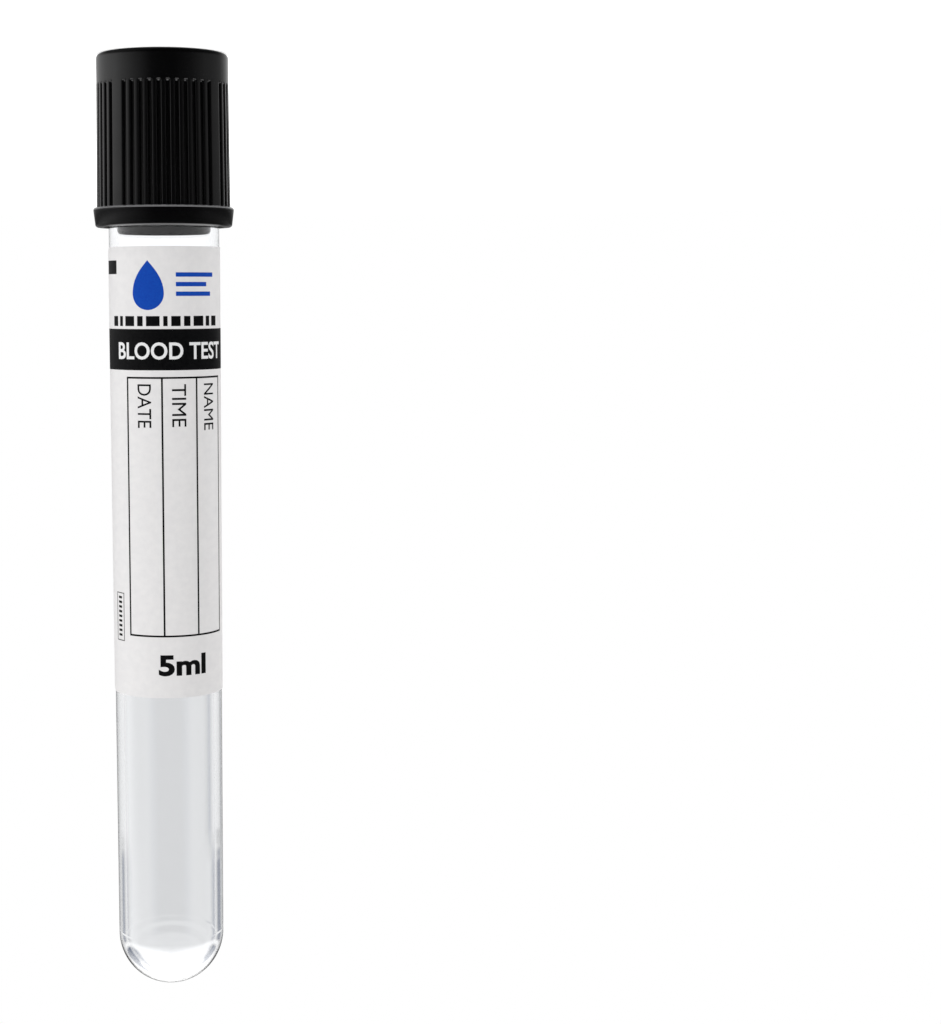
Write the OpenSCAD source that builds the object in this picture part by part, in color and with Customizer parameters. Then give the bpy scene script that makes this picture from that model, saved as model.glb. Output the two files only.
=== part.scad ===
// Capped blood collection tube, 13 x 100 mm, standing upside down on the flat top of its cap.
// The cap is on the floor, the round end points up (+Z), and the label faces -Y. Millimetres.
// Every piece is drawn cap up in the tube's own frame: +Z along the axis, zero at the tip of the round
// bottom, and -Y towards the front of the label. stand_on_cap() then turns it over onto the floor.

/* [Tube] */
// Outer diameter at the mouth
tube_d = 13; // [11:0.5:18]
// Length from the tip of the round bottom to the mouth
tube_len = 100; // [75:1:125]
// Thickness of the tube wall
tube_wall = 0.95; // [0.7:0.05:1.3]
// Wall thickness at the tip of the round end
end_wall = 1.1; // [0.9:0.05:3]
// Draft of the moulded wall on each side, in degrees
tube_draft = 0.1; // [0:0.05:0.3]
// Radius of the rounded rim of the mouth
rim_round = 0.25; // [0.1:0.05:0.3]

/* [Label] */
// Length of the label along the tube
label_len = 52.7; // [30:0.1:60]
// Width of the label round the tube
label_w = 22.8; // [15:0.1:30]
// Thickness of the label paper
label_t = 0.1; // [0.06:0.01:0.2]
// Height of the label's lower edge above the tip of the tube
label_z = 36.4; // [25:0.1:45]
// Turn of the middle of the label away from the front, in degrees
label_turn = 12; // [-30:1:30]
// Radius of the label's corners
label_corner = 1.5; // [0.5:0.1:3]

/* [Stopper] */
// Depth of the plug in the mouth of the tube
plug_depth = 9.4; // [6:0.1:12]
// Gap between the plug and the bore of the tube
plug_gap = 0.03; // [0.02:0.01:0.08]
// Radius of the hollow in the underside of the plug
hollow_r = 3.2; // [2:0.1:3.6]
// Radius of the hollow at its inner end
hollow_end_r = 1.9; // [1:0.1:2]
// Depth of the hollow in the underside of the plug
hollow_depth = 5; // [3:0.1:5.5]
// Bevel on the lower edge of the plug
plug_bevel = 0.5; // [0.2:0.1:1]
// Thickness of the seat that rests on the rim of the tube
seat_t = 1.5; // [1:0.1:2.5]
// Height of the waist that the cap's bead grips
waist_h = 1.4; // [1:0.1:2]
// Depth of the waist
waist_depth = 0.6; // [0.3:0.05:0.9]
// Thickness of the stopper's head above the waist
head_t = 2.5; // [1.5:0.1:4]
// Gap between the stopper and the cap round it
stopper_gap = 0.05; // [0.02:0.01:0.15]
// Depth of the dimple where the needle goes in
dimple_depth = 0.8; // [0.3:0.1:1.5]

/* [Cap] */
// Wall of the cap round its skirt
cap_wall = 0.95; // [0.8:0.05:1.5]
// Gap between the cap's skirt and the tube
skirt_gap = 0.25; // [0.15:0.05:0.5]
// Length of the skirt below the mouth of the tube
skirt_len = 8.6; // [6.5:0.1:12]
// Thickness of the shelf that holds the stopper down
shelf_t = 2; // [1.2:0.1:3]
// Radius of the needle port through the shelf
port_r = 4.2; // [3:0.1:4.8]
// Depth of the wide well above the shelf
well_depth = 4; // [2:0.1:6]
// Radius of the wide well
well_r = 5.6; // [5:0.1:6]
// Height of the smooth collar round the top
collar_h = 3.5; // [1.5:0.1:5]
// Radius of the cap's rounded top edge
top_round = 0.6; // [0.2:0.1:0.9]
// How far the ribbed wall flares out towards the foot
cap_flare = 0.13; // [0:0.01:0.4]
// Lead-in at the mouth of the skirt
lead_in = 0.5; // [0.2:0.05:0.7]

/* [Rim] */
// How far the cap's rim stands out from the collar
rim_out = 0.55; // [0.5:0.05:1.5]
// Height of the cap's rim
rim_h = 2.3; // [1.5:0.1:4]
// How far the rim draws in towards its foot
rim_taper = 0.25; // [0:0.05:0.35]
// Radius of the rim's rounded edges
rim_edge = 0.3; // [0.1:0.05:0.4]

/* [Ribs] */
// Places for grooves round the cap
groove_places = 46; // [24:1:60]
// Wider smooth stretches between the groups of ribs, each with one groove left out
plain_stretches = 4; // [1:1:6]
// Width of a groove
groove_w = 0.42; // [0.25:0.01:0.6]
// Depth of a groove
groove_depth = 0.35; // [0.15:0.01:0.5]
// Angle of the first smooth stretch from the front, in degrees
rib_start = -42.5; // [-90:0.5:90]

/* [Hidden] */
$fn = 96;
OVER = 1;       // how far a cutting tool reaches past what it cuts
mouth_r = tube_d / 2;
bore_r = mouth_r - tube_wall;
// Radius of the tube outside, and of its bore, at a height on the axis
function outer_r(z) = mouth_r - (tube_len - z) * tan(tube_draft);
function inner_r(z) = bore_r - (tube_len - z) * tan(tube_draft);
// The round end: its centre is as high as its radius, which is the wall's radius there
end_r = (mouth_r - tube_len * tan(tube_draft)) / (1 - tan(tube_draft));
end_inner_r = inner_r(end_r);

// Stopper levels, from the mouth of the tube upwards
plug_z = tube_len - plug_depth;
waist_z = tube_len + seat_t;
head_z = waist_z + waist_h;
head_top_z = head_z + head_t;
plug_r = inner_r(plug_z) - plug_gap;
// Cap levels and radii
skirt_r = mouth_r + skirt_gap;
foot_z = tube_len - skirt_len;
rim_top_z = foot_z + rim_h;
cap_top_z = head_top_z + shelf_t + well_depth;
collar_z = cap_top_z - collar_h;
cap_r = skirt_r + cap_wall;
rim_r = cap_r + rim_out;
head_r = skirt_r - stopper_gap;
bead_h = waist_h - 2 * stopper_gap;
bead_r = mouth_r - waist_depth + stopper_gap;
// Outside radius of the ribbed wall at a height
function wall_r(z) = cap_r + cap_flare * (collar_z - z) / (collar_z - rim_top_z);

// Where the arcs of the rim's rounded upper edge have their centre
edge_r = rim_r - rim_edge;
edge_z = rim_top_z - rim_edge;

// Turns a piece over, so that the top of the cap is on the floor and the front stays at the front
module stand_on_cap() translate([0, 0, cap_top_z]) rotate([0, 180, 0]) children();

// Turns a piece about the tube's axis, from the front towards +X
module turn_from_front(angle) rotate([0, 0, angle - 90]) children();

// What a rounded corner of a profile loses; the corner points to +X, +Y from the arc's centre
module corner_waste(r) {
    difference() {
        square(r + OVER);
        circle(r);
        translate([r, -OVER]) square([OVER + r, OVER]);
        translate([-OVER, r]) square([OVER, OVER + r]);
    }
}

// Half profile of a round-ended bar, the outside of the tube or the space in it: its end is a
// half circle or, where the tip is further from z_end than r_end, an oval
module round_end_profile(r_end, r_top, z_tip, z_end, z_top) {
    intersection() {
        translate([0, z_end]) scale([1, (z_end - z_tip) / r_end]) circle(r_end);
        translate([0, z_tip]) square([r_end, z_end - z_tip]);
    }
    polygon([[0, z_end], [r_end, z_end], [r_top, z_top], [0, z_top]]);
}

module tube() {
    color([0.86, 0.9, 0.93, 0.4])
    stand_on_cap()
    rotate_extrude()
    difference() {
        round_end_profile(end_r, mouth_r, 0, end_r, tube_len);
        round_end_profile(end_inner_r, inner_r(tube_len + OVER), end_wall, end_r, tube_len + OVER);
        translate([mouth_r - rim_round, tube_len - rim_round]) corner_waste(rim_round);
    }
}

// One corner of the label cut round; sx and sz point out of the label
module label_corner_cut(angle, z, sx, sz) {
    turn_from_front(angle)
    translate([0, 0, z])
    mirror([0, sx < 0 ? 1 : 0, 0])
    mirror([0, 0, sz < 0 ? 1 : 0])
    difference() {
        cube([mouth_r + OVER, label_corner + OVER, label_corner + OVER]);
        rotate([0, 90, 0]) cylinder(r = label_corner, h = mouth_r + 2 * OVER);
    }
}

module label() {
    label_top = label_z + label_len;
    half_turn = label_w / outer_r(label_z + label_len / 2) * 90 / PI;
    corner_turn = asin(label_corner / mouth_r);
    color("gainsboro")
    stand_on_cap()
    difference() {
        turn_from_front(label_turn - half_turn)
        rotate_extrude(angle = 2 * half_turn)
        polygon([
            [outer_r(label_z), label_z],
            [outer_r(label_z) + label_t, label_z],
            [outer_r(label_top) + label_t, label_top],
            [outer_r(label_top), label_top]
        ]);
        for (sx = [-1, 1], sz = [-1, 1])
            label_corner_cut(
                label_turn + sx * (half_turn - corner_turn),
                sz > 0 ? label_top - label_corner : label_z + label_corner,
                sx, sz
            );
    }
}

module stopper() {
    color([0.1, 0.1, 0.11])
    stand_on_cap()
    rotate_extrude()
    polygon([
        [0, plug_z + hollow_depth],
        [hollow_end_r, plug_z + hollow_depth],
        [hollow_r, plug_z],
        [plug_r - plug_bevel, plug_z],
        [plug_r, plug_z + plug_bevel],
        [plug_r, tube_len],
        [mouth_r, tube_len],
        [mouth_r, waist_z],
        [mouth_r - waist_depth, waist_z],
        [mouth_r - waist_depth, head_z],
        [head_r, head_z],
        [head_r, head_top_z],
        [port_r - stopper_gap, head_top_z],
        [0, head_top_z - dimple_depth]
    ]);
}

// Outside of the cap before the grooves are cut
module cap_outer_profile() {
    difference() {
        polygon([
            [0, foot_z],
            [rim_r - rim_taper, foot_z],
            [rim_r, edge_z],
            [rim_r, rim_top_z],
            [wall_r(rim_top_z), rim_top_z],
            [cap_r, collar_z],
            [cap_r, cap_top_z],
            [0, cap_top_z]
        ]);
        translate([edge_r, edge_z]) corner_waste(rim_edge);
        translate([cap_r - top_round, cap_top_z - top_round]) corner_waste(top_round);
        translate([rim_r - rim_taper - rim_edge, foot_z + rim_edge])
        mirror([0, 1]) corner_waste(rim_edge);
    }
}

// Space inside the cap: skirt, bead in the stopper's waist, pocket for its head, port and well
module cap_inner_profile() {
    bead_z = waist_z + stopper_gap;
    polygon([
        [0, foot_z - OVER],
        [skirt_r + lead_in + OVER, foot_z - OVER],
        [skirt_r + lead_in, foot_z],
        [skirt_r, foot_z + 2 * lead_in],
        [skirt_r, bead_z],
        [bead_r, bead_z],
        [bead_r, bead_z + bead_h],
        [skirt_r, bead_z + bead_h],
        [skirt_r, head_top_z],
        [port_r, head_top_z],
        [port_r, head_top_z + shelf_t],
        [well_r, head_top_z + shelf_t],
        [well_r, cap_top_z + OVER],
        [0, cap_top_z + OVER]
    ]);
}

// Grooves stand at even places round the cap, except at the plain stretches
function is_plain(place) =
    len([for (k = [0:plain_stretches - 1]) if (ceil(k * groove_places / plain_stretches) == place) k]) > 0;

module groove() {
    flare = atan(cap_flare / (collar_z - rim_top_z));
    translate([wall_r(rim_top_z) - groove_depth, -groove_w / 2, rim_top_z])
    rotate([0, -flare, 0])
    cube([groove_depth + OVER, groove_w, collar_z - rim_top_z]);
}

module cap() {
    color([0.05, 0.05, 0.055])
    stand_on_cap()
    difference() {
        rotate_extrude()
        difference() {
            cap_outer_profile();
            cap_inner_profile();
        }
        for (place = [0:groove_places - 1])
            if (!is_plain(place))
                turn_from_front(rib_start + place * 360 / groove_places) groove();
    }
}

tube();
label();
stopper();
cap();
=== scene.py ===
import math

import bmesh
import bpy
from mathutils import Matrix, Vector


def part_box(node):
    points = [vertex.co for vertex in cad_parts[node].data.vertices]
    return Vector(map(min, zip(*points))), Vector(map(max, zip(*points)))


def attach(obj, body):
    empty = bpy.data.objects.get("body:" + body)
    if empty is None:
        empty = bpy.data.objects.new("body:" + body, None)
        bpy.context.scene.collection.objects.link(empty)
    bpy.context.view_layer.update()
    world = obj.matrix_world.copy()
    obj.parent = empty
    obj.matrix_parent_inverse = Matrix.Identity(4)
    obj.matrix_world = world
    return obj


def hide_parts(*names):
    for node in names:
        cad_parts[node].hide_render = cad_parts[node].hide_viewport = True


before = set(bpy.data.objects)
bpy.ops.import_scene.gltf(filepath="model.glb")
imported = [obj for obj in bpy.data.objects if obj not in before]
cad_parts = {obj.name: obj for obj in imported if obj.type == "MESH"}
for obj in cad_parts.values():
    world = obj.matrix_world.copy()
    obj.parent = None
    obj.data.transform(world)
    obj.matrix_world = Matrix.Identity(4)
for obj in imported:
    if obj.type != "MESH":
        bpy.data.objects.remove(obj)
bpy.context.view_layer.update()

# ---------------------------------------------------------------------------------------------------
# Sizes. Every piece is modelled cap up in the tube's own frame, in millimetres: Z runs along the axis
# from the tip of the round end, and -Y is the front. STAND turns it over onto its cap, in metres.
# ---------------------------------------------------------------------------------------------------
MM = 0.001
tube_low, tube_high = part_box("tube")
cap_low, cap_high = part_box("cap")

MOUTH_R = (tube_high.x - tube_low.x) / 2 / MM
TUBE_LEN = (tube_high.z - tube_low.z) / MM
WALL = 0.95
END_WALL = 1.1
DRAFT = math.tan(math.radians(0.1))
RIM_ROUND = 0.25
END_R = (MOUTH_R - TUBE_LEN * DRAFT) / (1 - DRAFT)

PLUG_FOOT = TUBE_LEN - 9.4
PLUG_GAP = 0.03
HOLLOW_R = 3.2
HOLLOW_END_R = 1.9
HOLLOW_DEPTH = 5
SEAT_TOP = TUBE_LEN + 1.5
WAIST_TOP = SEAT_TOP + 1.4
WAIST_DEPTH = 0.6
HEAD_TOP = WAIST_TOP + 2.5
STOPPER_GAP = 0.05

CAP_RIM_R = (cap_high.x - cap_low.x) / 2 / MM
CAP_R = CAP_RIM_R - 0.55
CAP_FLARE = 0.13
CAP_FOOT = TUBE_LEN - 8.6
CAP_RIM_TOP = CAP_FOOT + 2.3
CAP_TOP = tube_high.z / MM
COLLAR = CAP_TOP - 3.5
SKIRT_R = MOUTH_R + 0.25
SHELF_TOP = HEAD_TOP + 2.0
WELL_R = 5.6
PORT_R = 4.2

LABEL_FOOT = 36.4
LABEL_TOP = LABEL_FOOT + 52.7
LABEL_W = 22.8
LABEL_T = 0.1
LABEL_TURN = math.radians(12)
LABEL_CORNER = 1.5
INK_T = 0.012

STAND = Matrix.Translation((0, 0, CAP_TOP * MM)) @ Matrix.Diagonal((-MM, MM, -MM, 1))


def outside_r(z):
    """Radius of the tube's outside at a height."""
    return MOUTH_R - (TUBE_LEN - z) * DRAFT


def inside_r(z):
    """Radius of the tube's bore at a height."""
    return outside_r(z) - WALL


# ---------------------------------------------------------------------------------------------------
# Materials
# ---------------------------------------------------------------------------------------------------
def new_material(name, color, roughness, **sockets):
    """A node material with its even values on the shader's own sockets."""
    mat = bpy.data.materials.new(name)
    mat.use_nodes = True
    shader = mat.node_tree.nodes["Principled BSDF"]
    shader.inputs["Base Color"].default_value = (*color, 1)
    shader.inputs["Roughness"].default_value = roughness
    for socket, value in sockets.items():
        shader.inputs[socket.replace("_", " ")].default_value = value
    return mat


def noise(mat, size_mm, stretch=(1, 1, 1), detail=2):
    """A noise pattern on the piece's own coordinates, with features of about that size."""
    nodes, links = mat.node_tree.nodes, mat.node_tree.links
    where = nodes.new("ShaderNodeTexCoord")
    fit = nodes.new("ShaderNodeMapping")
    fit.inputs["Scale"].default_value = stretch
    pattern = nodes.new("ShaderNodeTexNoise")
    pattern.inputs["Scale"].default_value = 1 / (size_mm * MM)
    pattern.inputs["Detail"].default_value = detail
    links.new(where.outputs["Object"], fit.inputs["Vector"])
    links.new(fit.outputs["Vector"], pattern.inputs["Vector"])
    return pattern.outputs["Fac"]


def vary(mat, socket, factor, low, high):
    """Drives a number on the shader between low and high."""
    nodes, links = mat.node_tree.nodes, mat.node_tree.links
    spread = nodes.new("ShaderNodeMapRange")
    spread.inputs["From Min"].default_value = 0.3
    spread.inputs["From Max"].default_value = 0.7
    spread.inputs["To Min"].default_value = low
    spread.inputs["To Max"].default_value = high
    links.new(factor, spread.inputs["Value"])
    links.new(spread.outputs["Result"], nodes["Principled BSDF"].inputs[socket])


def tint(mat, factor, dark, light):
    """Runs the base colour between two close tones."""
    nodes, links = mat.node_tree.nodes, mat.node_tree.links
    ramp = nodes.new("ShaderNodeValToRGB")
    ramp.color_ramp.elements[0].position = 0.3
    ramp.color_ramp.elements[0].color = (*dark, 1)
    ramp.color_ramp.elements[1].position = 0.7
    ramp.color_ramp.elements[1].color = (*light, 1)
    links.new(factor, ramp.inputs["Fac"])
    links.new(ramp.outputs["Color"], nodes["Principled BSDF"].inputs["Base Color"])


def bump(mat, height, depth_mm):
    """Raises the surface by a pattern, to a depth in millimetres."""
    nodes, links = mat.node_tree.nodes, mat.node_tree.links
    relief = nodes.new("ShaderNodeBump")
    relief.inputs["Strength"].default_value = 1.0
    relief.inputs["Distance"].default_value = depth_mm * MM
    links.new(height, relief.inputs["Height"])
    links.new(relief.outputs["Normal"], nodes["Principled BSDF"].inputs["Normal"])


def let_lamps_through(mat, color):
    """Lets lamp light through the piece, as shadow rays don't bend."""
    nodes, links = mat.node_tree.nodes, mat.node_tree.links
    rays = nodes.new("ShaderNodeLightPath")
    through = nodes.new("ShaderNodeBsdfTransparent")
    through.inputs["Color"].default_value = (*color, 1)
    pick = nodes.new("ShaderNodeMixShader")
    links.new(rays.outputs["Is Shadow Ray"], pick.inputs["Fac"])
    links.new(nodes["Principled BSDF"].outputs["BSDF"], pick.inputs[1])
    links.new(through.outputs["BSDF"], pick.inputs[2])
    links.new(pick.outputs["Shader"], nodes["Material Output"].inputs["Surface"])


def darken_inside(mat, color, density):
    """Makes the piece darker and more coloured where more of it is looked through."""
    nodes, links = mat.node_tree.nodes, mat.node_tree.links
    body = nodes.new("ShaderNodeVolumeAbsorption")
    body.inputs["Color"].default_value = (*color, 1)
    body.inputs["Density"].default_value = density
    links.new(body.outputs["Volume"], nodes["Material Output"].inputs["Volume"])


def clear_plastic():
    """Polished moulded plastic, a little uneven, and bluish where it is thick."""
    mat = new_material("clear_plastic", (0.99, 0.995, 1.0), 0.01, IOR=1.57, Transmission_Weight=1.0)
    bump(mat, noise(mat, 5, stretch=(1, 0.06, 1)), 0.012)
    let_lamps_through(mat, (0.86, 0.88, 0.9))
    darken_inside(mat, (0.3, 0.34, 0.42), density=35)
    return mat


def painted_highlight_line(mat, height_mm, width_mm, plain, pale):
    """Paints a paler line round the piece at a height above the floor, as a painted highlight."""
    nodes, links = mat.node_tree.nodes, mat.node_tree.links
    where = nodes.new("ShaderNodeTexCoord")
    height = nodes.new("ShaderNodeSeparateXYZ")
    on_line = nodes.new("ShaderNodeMath")
    on_line.operation = "COMPARE"
    on_line.inputs[1].default_value = height_mm * MM
    on_line.inputs[2].default_value = width_mm * MM / 2
    color = nodes.new("ShaderNodeMix")
    color.data_type = "RGBA"
    color.inputs["A"].default_value = (*plain, 1)
    color.inputs["B"].default_value = (*pale, 1)
    links.new(where.outputs["Object"], height.inputs["Vector"])
    links.new(height.outputs["Z"], on_line.inputs[0])
    links.new(on_line.outputs["Value"], color.inputs["Factor"])
    links.new(color.outputs["Result"], nodes["Principled BSDF"].inputs["Base Color"])


def cap_plastic():
    """Black moulded plastic, satin, with the fine grain of the mould and a paler line painted round the
    rim's upper edge as its highlight.
    """
    black, highlight_grey = (0.0015, 0.0015, 0.0018), (0.2, 0.2, 0.205)
    mat = new_material("cap_plastic", black, 0.17)
    # Painted highlight: a pale grey line round the rim's upper edge, standing in for the light that edge
    # catches.
    painted_highlight_line(mat, CAP_TOP - CAP_RIM_TOP + 0.07, 0.24, black, highlight_grey)
    vary(mat, "Roughness", noise(mat, 2.5), 0.15, 0.2)
    bump(mat, noise(mat, 0.3), 0.0008)
    return mat


def stopper_rubber():
    """Black rubber with a dull, slightly dusty skin."""
    mat = new_material("stopper_rubber", (0.012, 0.012, 0.012), 0.85, Specular_IOR_Level=0.0)
    tint(mat, noise(mat, 1.2, detail=4), (0.002, 0.002, 0.002), (0.006, 0.006, 0.006))
    bump(mat, noise(mat, 0.12, detail=4), 0.003)
    return mat


def label_paper():
    """Coated paper: pale, with faint fibres under the coat."""
    mat = new_material("label_paper", (0.78, 0.78, 0.78), 0.42)
    fibres = noise(mat, 0.8, stretch=(1, 0.4, 1), detail=5)
    tint(mat, fibres, (0.748, 0.738, 0.74), (0.792, 0.78, 0.778))
    bump(mat, noise(mat, 0.18, stretch=(1, 0.5, 1), detail=4), 0.0018)
    return mat


def ink(name, color, deep):
    """Printing ink on the paper, a little uneven in its cover."""
    mat = new_material(name, color, 0.35, Specular_IOR_Level=0.15)
    tint(mat, noise(mat, 0.25, detail=4), deep, color)
    vary(mat, "Roughness", noise(mat, 0.5), 0.3, 0.42)
    return mat


CLEAR = clear_plastic()
CAP_BLACK = cap_plastic()
RUBBER = stopper_rubber()
PAPER = label_paper()
BLACK_INK = ink("black_ink", (0.004, 0.004, 0.0045), (0.002, 0.002, 0.0025))
BLUE_INK = ink("blue_ink", (0.002, 0.063, 0.42), (0.0015, 0.05, 0.38))
WHITE_INK = ink("white_ink", (0.8, 0.8, 0.8), (0.76, 0.76, 0.77))


# ---------------------------------------------------------------------------------------------------
# Making pieces
# ---------------------------------------------------------------------------------------------------
def make_piece(bm, name, material, body, node=None, sharp_deg=38):
    """Turns a finished mesh over, gives it its material, hides the CAD part it stands in for and hangs it on
    its body.
    """
    bmesh.ops.transform(bm, matrix=STAND, verts=bm.verts)
    bmesh.ops.recalc_face_normals(bm, faces=bm.faces)
    mesh = bpy.data.meshes.new(name)
    bm.to_mesh(mesh)
    bm.free()
    mesh.polygons.foreach_set("use_smooth", [True] * len(mesh.polygons))
    mesh.set_sharp_from_angle(angle=math.radians(sharp_deg))
    mesh.materials.append(material)
    piece = bpy.data.objects.new(name, mesh)
    bpy.context.scene.collection.objects.link(piece)
    if node:
        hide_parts(node)
    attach(piece, body)
    return piece


def outline(corners, closed):
    """A half profile from (radius, height, rounding) corners; each rounding is bevelled at its vertex."""
    bm = bmesh.new()
    verts = [bm.verts.new((r, 0, z)) for r, z, _ in corners]
    ends = verts[1:] + verts[:1] if closed else verts[1:]
    for a, b in zip(verts, ends):
        bm.edges.new((a, b))
    for vert, (_, _, rounding) in zip(verts, corners):
        if rounding:
            bmesh.ops.bevel(
                bm, geom=[vert], offset=rounding, segments=6, profile=0.5, material=-1, affect="VERTICES"
            )
    return bm


def turn_on_axis(bm, steps, angle=2 * math.pi):
    """Spins a half profile round the axis; a full turn is closed there."""
    whole = angle == 2 * math.pi
    bmesh.ops.spin(
        bm, geom=bm.verts[:] + bm.edges[:], cent=(0, 0, 0), axis=(0, 0, 1),
        angle=angle, steps=steps, use_merge=whole,
    )
    if whole:
        bmesh.ops.remove_doubles(bm, verts=bm.verts, dist=1e-5)


# ---------------------------------------------------------------------------------------------------
# Tube
# ---------------------------------------------------------------------------------------------------
def round_end(radius, tip, steps=24):
    """Points of a quarter of an oval, from its tip on the axis out to the wall."""
    turns = [math.pi / 2 * k / steps for k in range(steps)]
    return [(radius * math.sin(a), END_R - (END_R - tip) * math.cos(a), 0) for a in turns]


def make_tube():
    """The inside has the fine step that the rounded tip of the core leaves, and the tip has a gate mark.
    Loops close to the ends of the long walls keep their shading straight."""
    gate_mark = [(0, -0.07, 0), (0.35, -0.06, 0), (0.5, 0.02, 0)]
    core_r = inside_r(END_R) + 0.02
    step = END_R + 0.05
    wall_foot, wall_top = END_R + 0.3, TUBE_LEN - 0.5
    wall_outside = [
        (END_R, END_R, 0),
        (outside_r(wall_foot), wall_foot, 0),
        (outside_r(wall_top), wall_top, 0),
        (MOUTH_R, TUBE_LEN, RIM_ROUND),
    ]
    wall_inside = [
        (inside_r(TUBE_LEN), TUBE_LEN, RIM_ROUND),
        (inside_r(wall_top), wall_top, 0),
        (inside_r(step + 0.2), step + 0.2, 0),
        (inside_r(step), step + 0.05, 0),
        (core_r, step, 0),
        (core_r, END_R, 0),
    ]
    corners = (
        gate_mark
        + round_end(END_R, 0)[2:]
        + wall_outside
        + wall_inside
        + round_end(core_r, END_WALL)[::-1]
    )
    bm = outline(corners, closed=False)
    turn_on_axis(bm, steps=160)
    make_piece(bm, "clear_tube", CLEAR, "tube", node="tube", sharp_deg=60)


# ---------------------------------------------------------------------------------------------------
# Stopper
# ---------------------------------------------------------------------------------------------------
def make_stopper():
    """Hollow plug, seat on the mouth of the tube, waist for the cap's bead, and head with a dimple."""
    plug_r = inside_r(PLUG_FOOT) - PLUG_GAP
    waist_r = MOUTH_R - WAIST_DEPTH
    head_r = SKIRT_R - STOPPER_GAP
    hollow_top = PLUG_FOOT + HOLLOW_DEPTH
    dimple = [(3.9, HEAD_TOP, 0.3), (1.4, HEAD_TOP - 0.75, 0.4), (0, HEAD_TOP - 0.8, 0)]
    corners = [
        (0, hollow_top, 0),
        (HOLLOW_END_R, hollow_top, 0.6),
        (HOLLOW_R, PLUG_FOOT, 0.4),
        (plug_r, PLUG_FOOT, 0.5),
        (plug_r, TUBE_LEN, 0.1),
        (MOUTH_R, TUBE_LEN, 0.15),
        (MOUTH_R, SEAT_TOP, 0.15),
        (waist_r, SEAT_TOP, 0.1),
        (waist_r, WAIST_TOP, 0.1),
        (head_r, WAIST_TOP, 0.2),
        (head_r, HEAD_TOP, 0.2),
    ]
    bm = outline(corners + dimple, closed=False)
    turn_on_axis(bm, steps=96)
    make_piece(bm, "rubber_stopper", RUBBER, "closure", node="stopper")


# ---------------------------------------------------------------------------------------------------
# Cap
# ---------------------------------------------------------------------------------------------------
GROOVE_PLACES = 46
PLAIN_STRETCHES = 4
RIB_START = math.radians(-42.5)
GROOVE_DEPTH = 0.35
# Half of one groove's section, from its middle to half way to the next: distance in mm, share of depth
GROOVE_SECTION = (
    (0.1, 1), (0.16, 0.92), (0.188, 0.7), (0.202, 0.37), (0.222, 0.28), (0.3, 0.035), (0.325, 0),
)
# How a groove comes up to the surface at the collar: distance in mm, share of depth
GROOVE_END = ((0, 0), (0.04, 0.12), (0.08, 0.42), (0.13, 0.74), (0.2, 0.94), (0.3, 1))


def cap_wall_r(z):
    """Radius of the ribbed wall at a height, before the grooves."""
    return CAP_R + CAP_FLARE * (COLLAR - z) / (COLLAR - CAP_RIM_TOP)


def cap_profile():
    """Section of the cap, with the levels at which its grooves begin and end."""
    collar = [(WELL_R, CAP_TOP, 0.35), (CAP_R, CAP_TOP, 0.6), (CAP_R, COLLAR + 0.08, 0)]
    grooves = [(cap_wall_r(COLLAR - d), COLLAR - d, 0) for d, _ in GROOVE_END]
    rim = [
        (cap_wall_r(CAP_RIM_TOP), CAP_RIM_TOP, 0),
        (CAP_RIM_R, CAP_RIM_TOP, 0.29),
        (CAP_RIM_R, CAP_RIM_TOP - 0.3, 0),
        (CAP_RIM_R - 0.25, CAP_FOOT, 0.3),
    ]
    lead_in = [(SKIRT_R + 0.5, CAP_FOOT, 0.1), (SKIRT_R, CAP_FOOT + 1.0, 0.2)]
    bead_r = MOUTH_R - WAIST_DEPTH + STOPPER_GAP
    bead_foot, bead_top = SEAT_TOP + STOPPER_GAP, WAIST_TOP - STOPPER_GAP
    bead = [
        (SKIRT_R, bead_foot, 0.05),
        (bead_r, bead_foot, 0.1),
        (bead_r, bead_top, 0.1),
        (SKIRT_R, bead_top, 0.05),
    ]
    shelf = [
        (SKIRT_R, HEAD_TOP, 0.1),
        (PORT_R, HEAD_TOP, 0.1),
        (PORT_R, SHELF_TOP, 0.25),
        (WELL_R, SHELF_TOP, 0.3),
    ]
    return collar + grooves + rim + lead_in + bead + shelf


def cut_groove(verts, middle, step, columns, depth):
    """Turns one sector to its place round the cap and presses its groove in."""
    along = {round(COLLAR - d, 3): share for d, share in GROOVE_END} | {round(CAP_RIM_TOP, 3): 1}
    for vert in verts:
        radius = math.hypot(vert.co.x, vert.co.y)
        angle, across = columns[round(math.atan2(vert.co.y, vert.co.x) / step)]
        if CAP_R - 0.01 < radius < cap_wall_r(CAP_RIM_TOP) + 0.01:
            radius -= depth * across * along.get(round(vert.co.z, 3), 0)
        vert.co.x = radius * math.sin(middle + angle)
        vert.co.y = -radius * math.cos(middle + angle)


def make_cap():
    """One sector is turned, then copied to each place and given its groove, or left plain."""
    pitch = 2 * math.pi / GROOVE_PLACES
    half = [(d / CAP_R, share) for d, share in GROOVE_SECTION] + [(pitch / 2, 0)]
    columns = [(-d, share) for d, share in reversed(half)] + [(0, 1)] + half
    step = pitch / (len(columns) - 1)
    sector = outline(cap_profile(), closed=True)
    turn_on_axis(sector, len(columns) - 1, angle=pitch)
    sector_mesh = bpy.data.meshes.new("cap_sector")
    sector.to_mesh(sector_mesh)
    sector.free()
    plain = {math.ceil(k * GROOVE_PLACES / PLAIN_STRETCHES) for k in range(PLAIN_STRETCHES)}
    bm = bmesh.new()
    for place in range(GROOVE_PLACES):
        bm.from_mesh(sector_mesh)
        new = bm.verts[-len(sector_mesh.vertices):]
        depth = 0 if place in plain else GROOVE_DEPTH
        cut_groove(new, RIB_START + place * pitch, step, columns, depth)
        bm.verts.ensure_lookup_table()
    bpy.data.meshes.remove(sector_mesh)
    bmesh.ops.remove_doubles(bm, verts=bm.verts, dist=1e-4)
    make_piece(bm, "ribbed_cap", CAP_BLACK, "closure", node="cap", sharp_deg=50)


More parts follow.
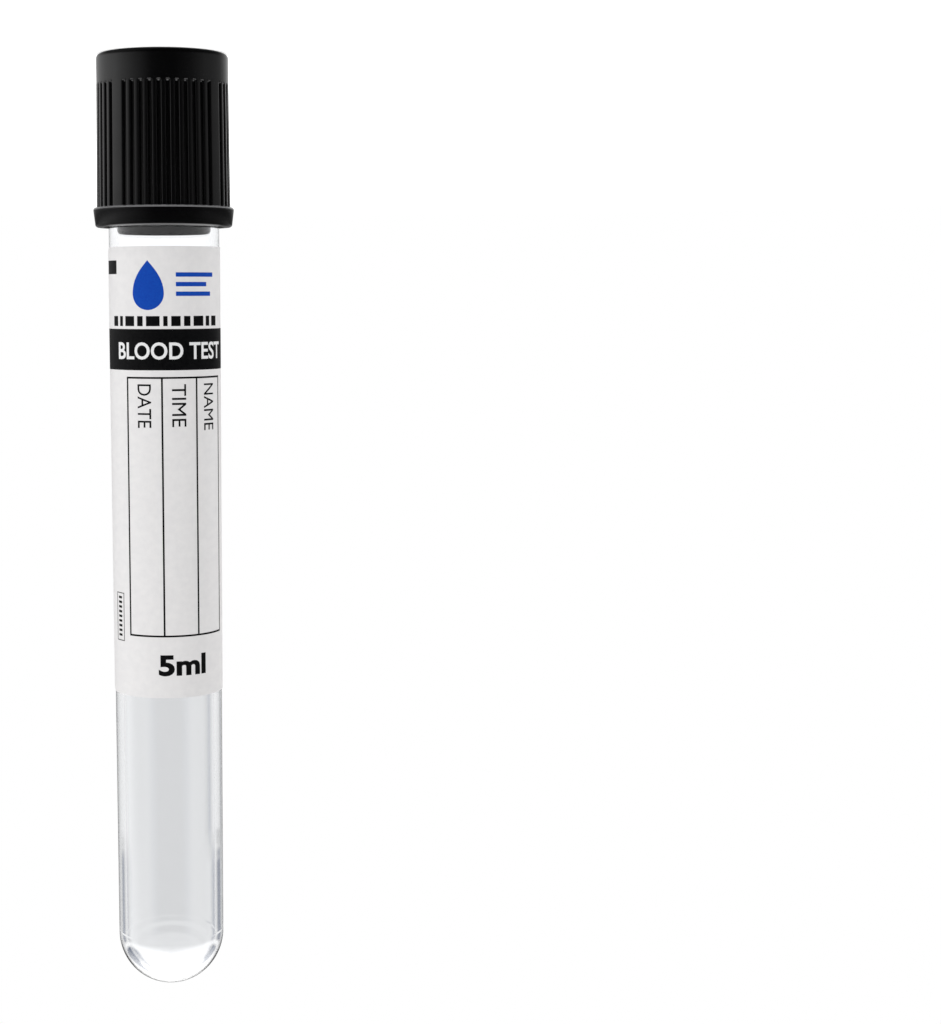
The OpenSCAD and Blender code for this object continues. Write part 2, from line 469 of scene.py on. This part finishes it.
# ---------------------------------------------------------------------------------------------------
# Label and its printing. Both are drawn flat, in mm: X runs round the tube from the front line, Y is the
# height above the tip of the tube, and Z stands off the tube's wall. wrap() then bends them round it.
# ---------------------------------------------------------------------------------------------------
# Width of a strip that bends round the tube, and how far apart surfaces are kept that would coincide
FACET = 0.3
SUNK = 0.01


def wrap(bm):
    """Bends a flat drawing round the tube."""
    for vert in bm.verts:
        across, height, proud = vert.co
        radius = outside_r(height)
        angle = across / (radius + LABEL_T)
        vert.co = ((radius + proud) * math.sin(angle), -(radius + proud) * math.cos(angle), height)


def thicken(bm, low, high):
    """Cuts a flat drawing into narrow strips that can bend, and gives it a closed thickness."""
    left = min(vert.co.x for vert in bm.verts)
    right = max(vert.co.x for vert in bm.verts)
    for k in range(math.ceil(left / FACET), math.floor(right / FACET) + 1):
        bmesh.ops.bisect_plane(
            bm, geom=bm.verts[:] + bm.edges[:] + bm.faces[:], dist=1e-6,
            plane_co=(k * FACET, 0, 0), plane_no=(1, 0, 0),
        )
    for vert in bm.verts:
        vert.co.z = low
    raised = bmesh.ops.extrude_face_region(bm, geom=bm.faces[:])["geom"]
    top = [part for part in raised if isinstance(part, bmesh.types.BMVert)]
    bmesh.ops.translate(bm, verts=top, vec=(0, 0, high - low))


def box_shape(bm, left, foot, right, top):
    """A filled rectangle."""
    corners = [bm.verts.new((x, y, 0)) for x, y in ((left, foot), (right, foot), (right, top), (left, top))]
    bm.faces.new(corners)


def make_label():
    """A sheet with rounded corners, its middle turned away from the front."""
    middle = LABEL_TURN * (outside_r((LABEL_FOOT + LABEL_TOP) / 2) + LABEL_T)
    bm = bmesh.new()
    box_shape(bm, middle - LABEL_W / 2, LABEL_FOOT, middle + LABEL_W / 2, LABEL_TOP)
    bmesh.ops.bevel(
        bm, geom=bm.verts[:], offset=LABEL_CORNER, segments=10, profile=0.5, material=-1, affect="VERTICES"
    )
    thicken(bm, SUNK, LABEL_T)
    wrap(bm)
    make_piece(bm, "paper_label", PAPER, "tube", node="label")


def frame_shape(bm, left, foot, right, top, line):
    """The outline of a rectangle, drawn with lines that meet at its corners."""
    box_shape(bm, left, foot, right, foot + line)
    box_shape(bm, left, top - line, right, top)
    box_shape(bm, left, foot + line, left + line, top - line)
    box_shape(bm, right - line, foot + line, right, top - line)


def words(bm, text, height, width, left, foot, turned=False, weight=0.0):
    """Lettering that fills a given height and width; turned lettering reads downwards."""
    curve = bpy.data.curves.new("lettering", "FONT")
    curve.body = text
    curve.offset = weight
    curve.resolution_u = 4
    holder = bpy.data.objects.new("lettering", curve)
    bpy.context.scene.collection.objects.link(holder)
    bpy.context.view_layer.update()
    mesh = bpy.data.meshes.new_from_object(holder)
    bpy.data.objects.remove(holder)
    xs = [vert.co.x for vert in mesh.vertices]
    ys = [vert.co.y for vert in mesh.vertices]
    fit = Matrix.Diagonal((width / (max(xs) - min(xs)), height / (max(ys) - min(ys)), 1, 1))
    mesh.transform(fit @ Matrix.Translation((-min(xs), -min(ys), 0)))
    if turned:
        mesh.transform(Matrix.Rotation(-math.pi / 2, 4, "Z"))
        mesh.transform(Matrix.Translation((0, width, 0)))
    mesh.transform(Matrix.Translation((left, foot, 0)))
    bm.from_mesh(mesh)
    bpy.data.meshes.remove(mesh)


def make_print(draw, name, material, level=0):
    """Draws one ink with draw(bm) and lays it on the label, or on the ink below at level 1."""
    bm = bmesh.new()
    draw(bm)
    thicken(bm, LABEL_T - SUNK, LABEL_T + INK_T * (level + 1))
    wrap(bm)
    make_piece(bm, name, material, "tube")


# Places of the printing. A box is its left, foot, right and top.
EYE_MARK = (-9.45, 85.95, -6.6, 87.52)
NAME_BARS = ((1.3, 85.6, 6.6, 86.1), (1.3, 84.5, 5.4, 85.0), (1.3, 83.4, 6.1, 83.9))
DROP_MIDDLE, DROP_R, DROP_STRETCH = (-2.0, 83.7, 0), 1.9, 2.0
TEXT_LEFT, TEXT_FOOT, TEXT_TOP, TEXT_GAP = -7.3, 79.95, 81.1, 0.42
TEXT_WIDTHS = (0.9, 0.5, 1.3, 0.7, 1.6, 0.5, 1.1, 0.8, 1.4, 0.6, 1.0)
BAND_FOOT, BAND_TOP = 74.87, 79.61
TABLE_LEFT, TABLE_FOOT, TABLE_RIGHT, TABLE_TOP = -4.94, 43.65, 8.0, 74.1
TABLE_COLUMNS = (-0.43, 3.79)
LINE = 0.21
# Each heading's word, length, left and foot
HEADINGS = (("DATE", 5.05, -3.4, 68.2), ("TIME", 4.95, 0.72, 68.3), ("NAME", 5.45, 4.88, 67.8))
HEADING_H = 1.68
SMALL_BOX = (-7.55, 42.85, -5.95, 48.6)
SMALL_BOX_LINE = 0.09
MARK_LEFT, MARK_RIGHT, MARK_FOOT, MARK_H, MARK_PITCH, MARKS = -7.1, -6.4, 43.4, 0.28, 0.56, 9


def draw_eye_mark(bm):
    box_shape(bm, *EYE_MARK)


def draw_name_bars(bm):
    for bar in NAME_BARS:
        box_shape(bm, *bar)


def draw_drop(bm):
    """A circle whose upper half is drawn out to a point."""
    made = bmesh.ops.create_circle(bm, cap_ends=True, segments=64, radius=DROP_R)
    for vert in made["verts"]:
        if vert.co.y > 0:
            rise = vert.co.y / DROP_R
            vert.co.x *= (1 - rise) ** 0.6 * (1 + 0.6 * rise)
            vert.co.y *= DROP_STRETCH
        vert.co += Vector(DROP_MIDDLE)


def draw_text_bars(bm):
    left = TEXT_LEFT
    for width in TEXT_WIDTHS:
        box_shape(bm, left, TEXT_FOOT, left + width, TEXT_TOP)
        left += width + TEXT_GAP


def draw_band(bm):
    """The band goes from edge to edge of the label."""
    reach = LABEL_W / 2 - SUNK
    middle = LABEL_TURN * (outside_r(BAND_TOP) + LABEL_T)
    box_shape(bm, middle - reach, BAND_FOOT, middle + reach, BAND_TOP)


def draw_band_words(bm):
    words(bm, "BLOOD TEST", height=2.0, width=14.6, left=-6.3, foot=76.1, weight=0.02)


def draw_table(bm):
    frame_shape(bm, TABLE_LEFT, TABLE_FOOT, TABLE_RIGHT, TABLE_TOP, LINE)
    for x in TABLE_COLUMNS:
        box_shape(bm, x - LINE / 2, TABLE_FOOT + LINE, x + LINE / 2, TABLE_TOP - LINE)


def draw_headings(bm):
    for word, length, left, foot in HEADINGS:
        words(bm, word, HEADING_H, length, left, foot, turned=True)


def draw_small_box(bm):
    """Small box with a row of plain marks."""
    frame_shape(bm, *SMALL_BOX, SMALL_BOX_LINE)
    for k in range(MARKS):
        foot = MARK_FOOT + k * MARK_PITCH
        box_shape(bm, MARK_LEFT, foot, MARK_RIGHT, foot + MARK_H)


def draw_volume(bm):
    words(bm, "5ml", height=2.5, width=5.95, left=-1.17, foot=39.02, weight=0.035)


# ---------------------------------------------------------------------------------------------------
# Floor, light and camera
# ---------------------------------------------------------------------------------------------------
FLOOR_R = 0.5
FLOOR_GLOW = 0.6
FILL = 0.8
# What clear plastic shows of the studio: a dark front, pale sides, and a grey back wall between two white
# sheets, with gaps by the sheets that are wider and darker higher up. Stops of degrees round it, from the
# front by way of the label's left, and brightness, where 1 is white. ROOM_SCALE is more than any of them.
ROOM_SCALE = 1.6
FRONT, SIDES, SHEETS, BACK_WALL, GAP, DEEP_GAP = 0.1, 0.8, 1.0, 0.85, 0.6, 0.4
THROUGH_LOW = (
    (0, FRONT), (30, FRONT), (60, SIDES), (110, SIDES), (130, SHEETS), (160, SHEETS), (172, BACK_WALL),
    (190, BACK_WALL), (197, GAP), (208, SHEETS), (230, SHEETS), (250, SIDES), (300, SIDES), (330, FRONT),
    (360, FRONT),
)
THROUGH_HIGH = (
    (0, FRONT), (30, FRONT), (60, SIDES), (110, SIDES), (130, SHEETS), (145, DEEP_GAP), (160, SHEETS),
    (172, BACK_WALL), (198, BACK_WALL), (206, DEEP_GAP), (216, DEEP_GAP), (230, SHEETS), (250, SHEETS),
    (300, SIDES), (330, FRONT), (360, FRONT),
)
# What reflections see: dark at the front, brightest at the left, pale at the back and dim at the right
MIRRORED = (
    (0, 0.02), (20, 0.04), (50, 0.4), (90, 1), (150, 0.6), (200, 0.8), (240, 0.3), (280, 0.3),
    (310, 0.1), (340, 0.02), (360, 0.02),
)
THROUGH_TOP = (
    (0, 1.15), (118, 1.15), (128, 0.6), (134, 0.27), (160, 0.27), (168, 1.15), (203, 1.15), (210, 0.5),
    (230, 0.5), (242, 1.15), (360, 1.15),
)
OVERHEAD = 1.15
# Stops of degrees off the horizon, and how far what clear plastic sees gives way: CLIMB from THROUGH_LOW to
# THROUGH_HIGH, SKY from both to OVERHEAD, and TOP from that to THROUGH_TOP
CLIMB = ((0, 0), (15.4, 0), (16.4, 1), (90, 1))
SKY = ((0, 1), (4, 1), (9, 0), (22.8, 0), (25, 1), (90, 1))
TOP = ((0, 0), (27, 0), (30, 1), (44, 1), (50, 0), (90, 0))
# Stops of degrees from straight down to straight up: how much of MIRRORED is left, and what is added to it.
# GLEAM_SCALE is the most that is added.
MIRRORED_SHARE = (
    (-90, 0.15), (-30, 0.15), (-10, 1), (-3, 1), (-1, 0.3), (1, 0.1), (4, 0.1), (8, 0.55), (12, 0.3),
    (90, 0.3),
)
MIRRORED_GLEAM = ((-90, 0), (30, 0), (50, 4), (90, 4))
GLEAM_SCALE = 4
# How cool clear plastic shows things no brighter than the first mark. From the second mark they are white.
COOL = (0.72, 0.8, 1, 1)
COOL_MARKS = (0.3, 0.75)


def link(tree, pairs):
    """Joins sockets: each pair is (node, output) and (node, input)."""
    for (out_node, output), (in_node, socket) in pairs:
        tree.links.new(out_node.outputs[output], in_node.inputs[socket])


def math_node(tree, operation, value=None):
    node = tree.nodes.new("ShaderNodeMath")
    node.operation = operation
    if value is not None:
        node.inputs[1].default_value = value
    return node


def floor_paint():
    """Pale and glowing, so that it looks white and keeps the shadow. It fades into the white studio further
    out, and from below, and reflections and clear plastic see the studio through it."""
    mat = new_material("floor", (0.8, 0.8, 0.8), 0.9, Specular_IOR_Level=0.0)
    tree = mat.node_tree
    shader = tree.nodes["Principled BSDF"]
    shader.inputs["Emission Color"].default_value = (1, 1, 1, 1)
    rays = tree.nodes.new("ShaderNodeLightPath")
    glow = math_node(tree, "MULTIPLY", FLOOR_GLOW)
    where = tree.nodes.new("ShaderNodeTexCoord")
    distance = tree.nodes.new("ShaderNodeVectorMath")
    distance.operation = "LENGTH"
    fade = tree.nodes.new("ShaderNodeMapRange")
    fade.inputs["From Min"].default_value = 0.25 * FLOOR_R
    fade.inputs["From Max"].default_value = 0.95 * FLOOR_R
    sides = tree.nodes.new("ShaderNodeNewGeometry")
    gone = [math_node(tree, "MAXIMUM") for _ in range(3)]
    nothing = tree.nodes.new("ShaderNodeBsdfTransparent")
    pick = tree.nodes.new("ShaderNodeMixShader")
    link(tree, [
        ((rays, "Is Camera Ray"), (glow, 0)),
        ((glow, "Value"), (shader, "Emission Strength")),
        ((where, "Object"), (distance, 0)),
        ((distance, "Value"), (fade, "Value")),
        ((fade, "Result"), (gone[0], 0)),
        ((sides, "Backfacing"), (gone[0], 1)),
        ((gone[0], "Value"), (gone[1], 0)),
        ((rays, "Is Glossy Ray"), (gone[1], 1)),
        ((gone[1], "Value"), (gone[2], 0)),
        ((rays, "Is Transmission Ray"), (gone[2], 1)),
        ((gone[2], "Value"), (pick, "Fac")),
        ((shader, "BSDF"), (pick, 1)),
        ((nothing, "BSDF"), (pick, 2)),
        ((pick, "Shader"), (tree.nodes["Material Output"], "Surface")),
    ])
    return mat


def make_floor():
    """A round sheet at the height of the floor, with nothing of the object in it."""
    bm = bmesh.new()
    bmesh.ops.create_circle(bm, cap_ends=True, segments=96, radius=FLOOR_R)
    mesh = bpy.data.meshes.new("floor")
    bm.to_mesh(mesh)
    bm.free()
    mesh.materials.append(floor_paint())
    floor = bpy.data.objects.new("floor", mesh)
    bpy.context.scene.collection.objects.link(floor)


def ramp(tree, stops, full=1.0):
    """A ramp node with marks at (position, value), as shares of full."""
    node = tree.nodes.new("ShaderNodeValToRGB")
    marks = node.color_ramp.elements
    for _ in range(len(stops) - 2):
        marks.new(0.5)
    for mark, (position, value) in zip(marks, stops):
        mark.position = position
        mark.color = (value / full,) * 3 + (1,)
    return node


def round_the_room(tree, where, stops):
    """Brightness by direction round the room, from stops of (degrees from the front, brightness)."""
    turn = tree.nodes.new("ShaderNodeMapping")
    turn.vector_type = "VECTOR"
    turn.inputs["Rotation"].default_value = (0, 0, -math.pi / 2)
    sweep = tree.nodes.new("ShaderNodeTexGradient")
    sweep.gradient_type = "RADIAL"
    marks = ramp(tree, [(degrees / 360, value) for degrees, value in stops], ROOM_SCALE)
    grow = math_node(tree, "MULTIPLY", ROOM_SCALE)
    link(tree, [
        ((where, "Generated"), (turn, "Vector")),
        ((turn, "Vector"), (sweep, "Vector")),
        ((sweep, "Fac"), (marks, "Fac")),
        ((marks, "Color"), (grow, 0)),
    ])
    return grow, "Value"


def blend(tree, factor, low, high):
    """A mix of two numbers; each end is a (node, output) or a value."""
    mix = tree.nodes.new("ShaderNodeMix")
    for socket, end in (("Factor", factor), ("A", low), ("B", high)):
        if isinstance(end, tuple):
            tree.links.new(end[0].outputs[end[1]], mix.inputs[socket])
        else:
            mix.inputs[socket].default_value = end
    return mix, "Result"


def look_height(tree, where):
    """How high a ray looks, from 0 to 1: off the horizon either way, and upward from straight down."""
    height = tree.nodes.new("ShaderNodeSeparateXYZ")
    either_way = math_node(tree, "ABSOLUTE")
    upward = tree.nodes.new("ShaderNodeMapRange")
    upward.inputs["From Min"].default_value = -1
    link(tree, [
        ((where, "Generated"), (height, "Vector")),
        ((height, "Z"), (either_way, 0)),
        ((height, "Z"), (upward, "Value")),
    ])
    return (either_way, "Value"), (upward, "Result")


def mirrored_room(tree, where, upward):
    """What reflections see: the share of MIRRORED that the height leaves, and the gleam from overhead."""
    share, gleam = (
        ramp(tree, [(math.sin(math.radians(a)) / 2 + 0.5, value) for a, value in stops], GLEAM_SCALE)
        for stops in (MIRRORED_SHARE, MIRRORED_GLEAM)
    )
    kept, added = math_node(tree, "MULTIPLY"), math_node(tree, "ADD")
    grown = math_node(tree, "MULTIPLY", GLEAM_SCALE)
    link(tree, [
        (upward, (share, "Fac")),
        (upward, (gleam, "Fac")),
        ((share, "Color"), (kept, 0)),
        (round_the_room(tree, where, MIRRORED), (kept, 1)),
        ((kept, "Value"), (added, 0)),
        ((gleam, "Color"), (added, 1)),
        ((added, "Value"), (grown, 0)),
    ])
    return grown, "Value"


def room_through_plastic(tree, where, either_way):
    """What clear plastic shows: the sides of the studio by height, and what is over and under them."""
    low, high, top = (
        round_the_room(tree, where, stops) for stops in (THROUGH_LOW, THROUGH_HIGH, THROUGH_TOP)
    )
    climb, sky, zenith = (
        ramp(tree, [(math.sin(math.radians(a)), value) for a, value in stops]) for stops in (CLIMB, SKY, TOP)
    )
    link(tree, [(either_way, (node, "Fac")) for node in (climb, sky, zenith)])
    sides = blend(tree, (climb, "Color"), low, high)
    above = blend(tree, (zenith, "Color"), OVERHEAD, top)
    return blend(tree, (sky, "Color"), sides, above)


def cool_tint(tree, rays, through):
    """The colour of the light: cool in the darker parts of what clear plastic shows, and otherwise white."""
    cool = tree.nodes.new("ShaderNodeValToRGB")
    for mark, position, color in zip(cool.color_ramp.elements, COOL_MARKS, (COOL, (1, 1, 1, 1))):
        mark.position = position
        mark.color = color
    tinted = tree.nodes.new("ShaderNodeMix")
    tinted.data_type = "RGBA"
    tinted.inputs["A"].default_value = (1, 1, 1, 1)
    link(tree, [
        (through, (cool, "Fac")),
        ((rays, "Is Transmission Ray"), (tinted, "Factor")),
        ((cool, "Color"), (tinted, "B")),
    ])
    return tinted, "Result"


def make_world():
    """White where it is seen directly. Reflections and clear plastic see the sides of the studio."""
    world = bpy.data.worlds.new("studio")
    bpy.context.scene.world = world
    world.use_nodes = True
    world.cycles.sampling_method = "NONE"
    tree = world.node_tree
    rays = tree.nodes.new("ShaderNodeLightPath")
    where = tree.nodes.new("ShaderNodeTexCoord")
    either_way, upward = look_height(tree, where)
    through = room_through_plastic(tree, where, either_way)
    seen = blend(tree, (rays, "Is Glossy Ray"), FILL, mirrored_room(tree, where, upward))
    seen = blend(tree, (rays, "Is Transmission Ray"), seen, through)
    seen = blend(tree, (rays, "Is Camera Ray"), seen, 1.0)
    background = tree.nodes["Background"]
    link(tree, [
        (seen, (background, "Strength")),
        (cool_tint(tree, rays, through), (background, "Color")),
    ])


def soft_box(name, place, target, width, height, watts):
    """An area lamp at a place, facing a target, all in metres. Only matt surfaces see it."""
    data = bpy.data.lights.new(name, "AREA")
    data.shape = "RECTANGLE"
    data.size, data.size_y = width, height
    data.energy = watts
    lamp = bpy.data.objects.new(name, data)
    lamp.location = place
    facing = Vector(target) - Vector(place)
    lamp.rotation_euler = facing.to_track_quat("-Z", "Y").to_euler()
    lamp.visible_glossy = lamp.visible_transmission = False
    bpy.context.scene.collection.objects.link(lamp)


def make_lights():
    middle = (0, 0, 0.05)
    soft_box("key", (0.3, -0.3, 0.2), middle, width=0.3, height=0.3, watts=0.5)
    soft_box("left_edge", (0.36, 0.14, 0.15), middle, width=0.2, height=0.3, watts=0.2)
    soft_box("right_edge", (-0.34, 0.2, 0.15), middle, width=0.2, height=0.3, watts=0.5)
    soft_box("back", (0, 0.4, 0.15), middle, width=0.4, height=0.3, watts=1.2)


# In the tube's own frame: how far the camera is in front of the axis and above the tip of the round end, in
# mm, and how far it looks aside and down and leans. Lens in mm, and shift as a share of the frame's length.
CAMERA_BACK = 235.6
CAMERA_UP_TUBE = 83.55
CAMERA_YAW, CAMERA_PITCH, CAMERA_ROLL = (math.radians(a) for a in (3.87, 6.285, -0.194))
CAMERA_LENS = 69.52
CAMERA_SHIFT = 0.1665


def make_camera():
    """Looks at the front of the tube from a little towards its cap, held so that the cap is at the top."""
    data = bpy.data.cameras.new("camera")
    data.sensor_width = 36
    data.lens = CAMERA_LENS
    data.shift_x = CAMERA_SHIFT
    data.clip_start = 0.01
    camera = bpy.data.objects.new("camera", data)
    aim = (
        Matrix.Rotation(math.pi, 3, "Y")
        @ Matrix.Rotation(-CAMERA_YAW, 3, "Z")
        @ Matrix.Rotation(math.pi / 2 - CAMERA_PITCH, 3, "X")
        @ Matrix.Rotation(CAMERA_ROLL, 3, "Z")
    )
    place = STAND @ Vector((0, -CAMERA_BACK, CAMERA_UP_TUBE))
    camera.matrix_world = Matrix.Translation(place) @ aim.to_4x4()
    bpy.context.scene.collection.objects.link(camera)
    bpy.context.scene.camera = camera


make_tube()
make_stopper()
make_cap()
make_label()
make_print(draw_eye_mark, "print_eye_mark", BLACK_INK)
make_print(draw_drop, "print_drop", BLUE_INK)
make_print(draw_name_bars, "print_blue_bars", BLUE_INK)
make_print(draw_text_bars, "print_bars", BLACK_INK)
make_print(draw_band, "print_band", BLACK_INK)
make_print(draw_band_words, "print_band_words", WHITE_INK, level=1)
make_print(draw_table, "print_table", BLACK_INK)
make_print(draw_headings, "print_headings", BLACK_INK)
make_print(draw_small_box, "print_small_box", BLACK_INK)
make_print(draw_volume, "print_volume", BLACK_INK)
make_floor()
make_world()
make_lights()
make_camera()
bpy.context.scene.view_settings.view_transform = "Standard"
